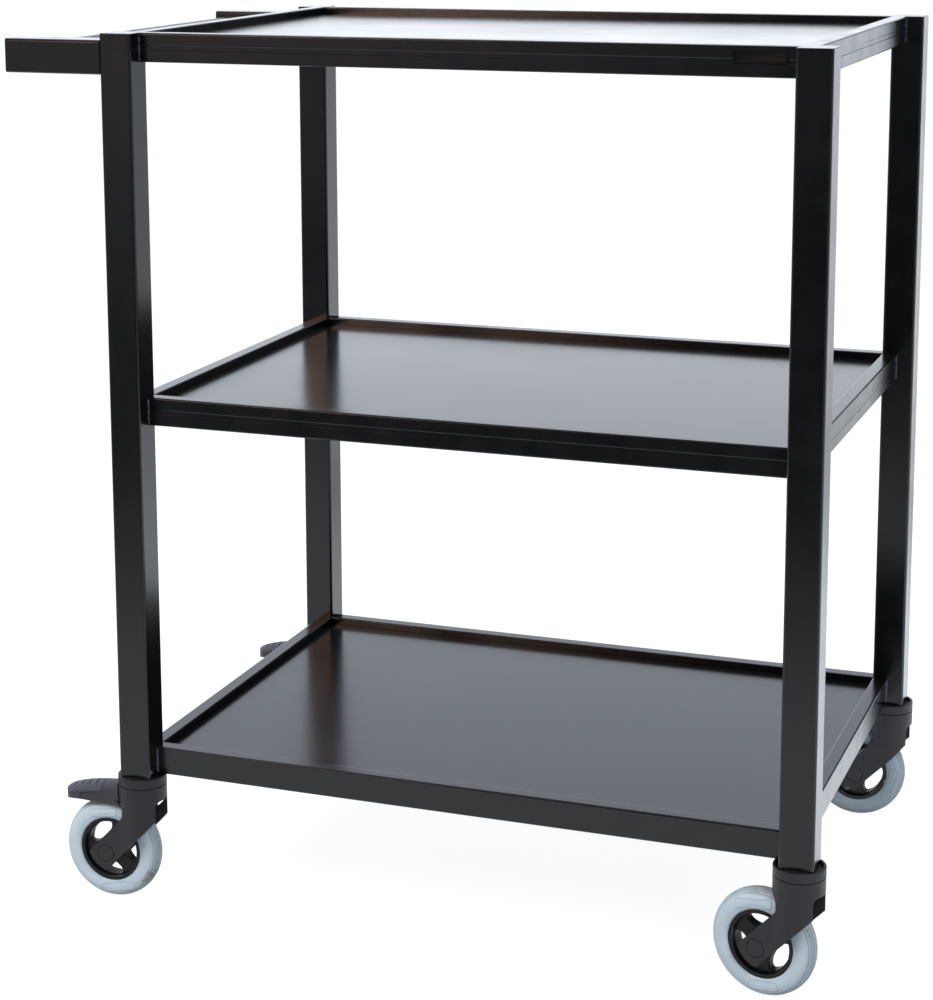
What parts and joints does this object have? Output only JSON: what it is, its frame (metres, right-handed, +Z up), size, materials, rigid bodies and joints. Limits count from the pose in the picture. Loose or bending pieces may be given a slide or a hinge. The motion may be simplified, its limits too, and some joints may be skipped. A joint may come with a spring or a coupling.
{
  "type": "serving cart",
  "caption": "Welded square-tube serving cart with inset sheet shelves, a round push bar between arms at one end, and swivel castors, some with a foot brake.",
  "frame": {"origin": "on the floor, under the middle of the whole outline, handle and castors included", "axes": "+Z up, +X from the handle end to the other end, +Y from the front (the side with the plate) to the rear"},
  "size_m": [0.9836, 0.629, 1.061],
  "materials": {
    "frame_paint": "satin black powder coat",
    "sheet_paint": "semi-gloss black powder coat",
    "steel": "plain turned steel",
    "castor_plastic": "fine matt moulding",
    "hub_plastic": "satin moulding",
    "pad_plastic": "matt moulding",
    "bush_plastic": "plain moulding",
    "tyre": "smooth light grey rubber",
    "plate": "gloss black, bare"
  },
  "bodies": {
    "frame": {"post_front_left": "frame_paint", "post_front_right": "frame_paint", "post_rear_left": "frame_paint", "post_rear_right": "frame_paint", "tube_end_caps": "frame_paint", "top_rail_front": "frame_paint", "top_rail_rear": "frame_paint", "top_rail_left": "frame_paint", "top_rail_right": "frame_paint", "shelf_top": "sheet_paint", "middle_rail_front": "frame_paint", "middle_rail_rear": "frame_paint", "middle_rail_left": "frame_paint", "middle_rail_right": "frame_paint", "shelf_middle": "sheet_paint", "bottom_rail_front": "frame_paint", "bottom_rail_rear": "frame_paint", "bottom_rail_left": "frame_paint", "bottom_rail_right": "frame_paint", "shelf_bottom": "sheet_paint", "shelf_ledges": "frame_paint", "weld_beads": "frame_paint", "handle_arm_front": "frame_paint", "handle_arm_rear": "frame_paint", "handle_bar": "frame_paint", "name_plate": "plate", "stem_sockets": "castor_plastic", "castor_stems": "steel", "castor_bearings": "steel", "castor_top_covers": "castor_plastic"},
    "castor_front_left": {"castor_fork_front_left": "castor_plastic", "castor_axle_front_left": "steel", "axle_covers_front_left": "castor_plastic"},
    "wheel_front_left": {"wheel_hub_front_left": "hub_plastic", "wheel_bushes_front_left": "bush_plastic", "wheel_tyre_front_left": "tyre"},
    "castor_front_right": {"castor_fork_front_right": "castor_plastic", "castor_axle_front_right": "steel", "axle_covers_front_right": "castor_plastic"},
    "wheel_front_right": {"wheel_hub_front_right": "hub_plastic", "wheel_bushes_front_right": "bush_plastic", "wheel_tyre_front_right": "tyre"},
    "castor_rear_left": {"castor_fork_rear_left": "castor_plastic", "castor_axle_rear_left": "steel", "axle_covers_rear_left": "castor_plastic"},
    "wheel_rear_left": {"wheel_hub_rear_left": "hub_plastic", "wheel_bushes_rear_left": "bush_plastic", "wheel_tyre_rear_left": "tyre"},
    "castor_rear_right": {"castor_fork_rear_right": "castor_plastic", "castor_axle_rear_right": "steel", "axle_covers_rear_right": "castor_plastic"},
    "wheel_rear_right": {"wheel_hub_rear_right": "hub_plastic", "wheel_bushes_rear_right": "bush_plastic", "wheel_tyre_rear_right": "tyre"},
    "pedal_front_left": {"brake_pedal_front_left": "castor_plastic", "brake_pad_front_left": "pad_plastic", "brake_shoe_front_left": "pad_plastic"},
    "pedal_rear_left": {"brake_pedal_rear_left": "castor_plastic", "brake_pad_rear_left": "pad_plastic", "brake_shoe_rear_left": "pad_plastic"}
  },
  "joints": [
    {"name": "swivel_front_left", "type": "hinge", "parent": "frame", "child": "castor_front_left", "pos_m": [-0.3478, -0.285, 0.145], "axis": [0, 0, 1], "continuous": true},
    {"name": "roll_front_left", "type": "hinge", "parent": "castor_front_left", "child": "wheel_front_left", "pos_m": [-0.3878, -0.285, 0.0625], "axis": [0, 1, 0], "continuous": true},
    {"name": "swivel_front_right", "type": "hinge", "parent": "frame", "child": "castor_front_right", "pos_m": [0.4622, -0.285, 0.145], "axis": [0, 0, 1], "continuous": true},
    {"name": "roll_front_right", "type": "hinge", "parent": "castor_front_right", "child": "wheel_front_right", "pos_m": [0.42326, -0.27587, 0.0625], "axis": [0.2284, 0.9736, 0], "continuous": true},
    {"name": "swivel_rear_left", "type": "hinge", "parent": "frame", "child": "castor_rear_left", "pos_m": [-0.3478, 0.285, 0.145], "axis": [0, 0, 1], "continuous": true},
    {"name": "roll_rear_left", "type": "hinge", "parent": "castor_rear_left", "child": "wheel_rear_left", "pos_m": [-0.3878, 0.285, 0.0625], "axis": [0, 1, 0], "continuous": true},
    {"name": "swivel_rear_right", "type": "hinge", "parent": "frame", "child": "castor_rear_right", "pos_m": [0.4622, 0.285, 0.145], "axis": [0, 0, 1], "continuous": true},
    {"name": "roll_rear_right", "type": "hinge", "parent": "castor_rear_right", "child": "wheel_rear_right", "pos_m": [0.4222, 0.285, 0.0625], "axis": [0, 1, 0], "continuous": true},
    {"name": "brake_front_left", "type": "hinge", "parent": "castor_front_left", "child": "pedal_front_left", "pos_m": [-0.3688, -0.285, 0.137], "axis": [0, -1, 0], "range_deg": [0, 9]},
    {"name": "brake_rear_left", "type": "hinge", "parent": "castor_rear_left", "child": "pedal_rear_left", "pos_m": [-0.3688, 0.285, 0.137], "axis": [0, -1, 0], "range_deg": [0, 9]}
  ]
}
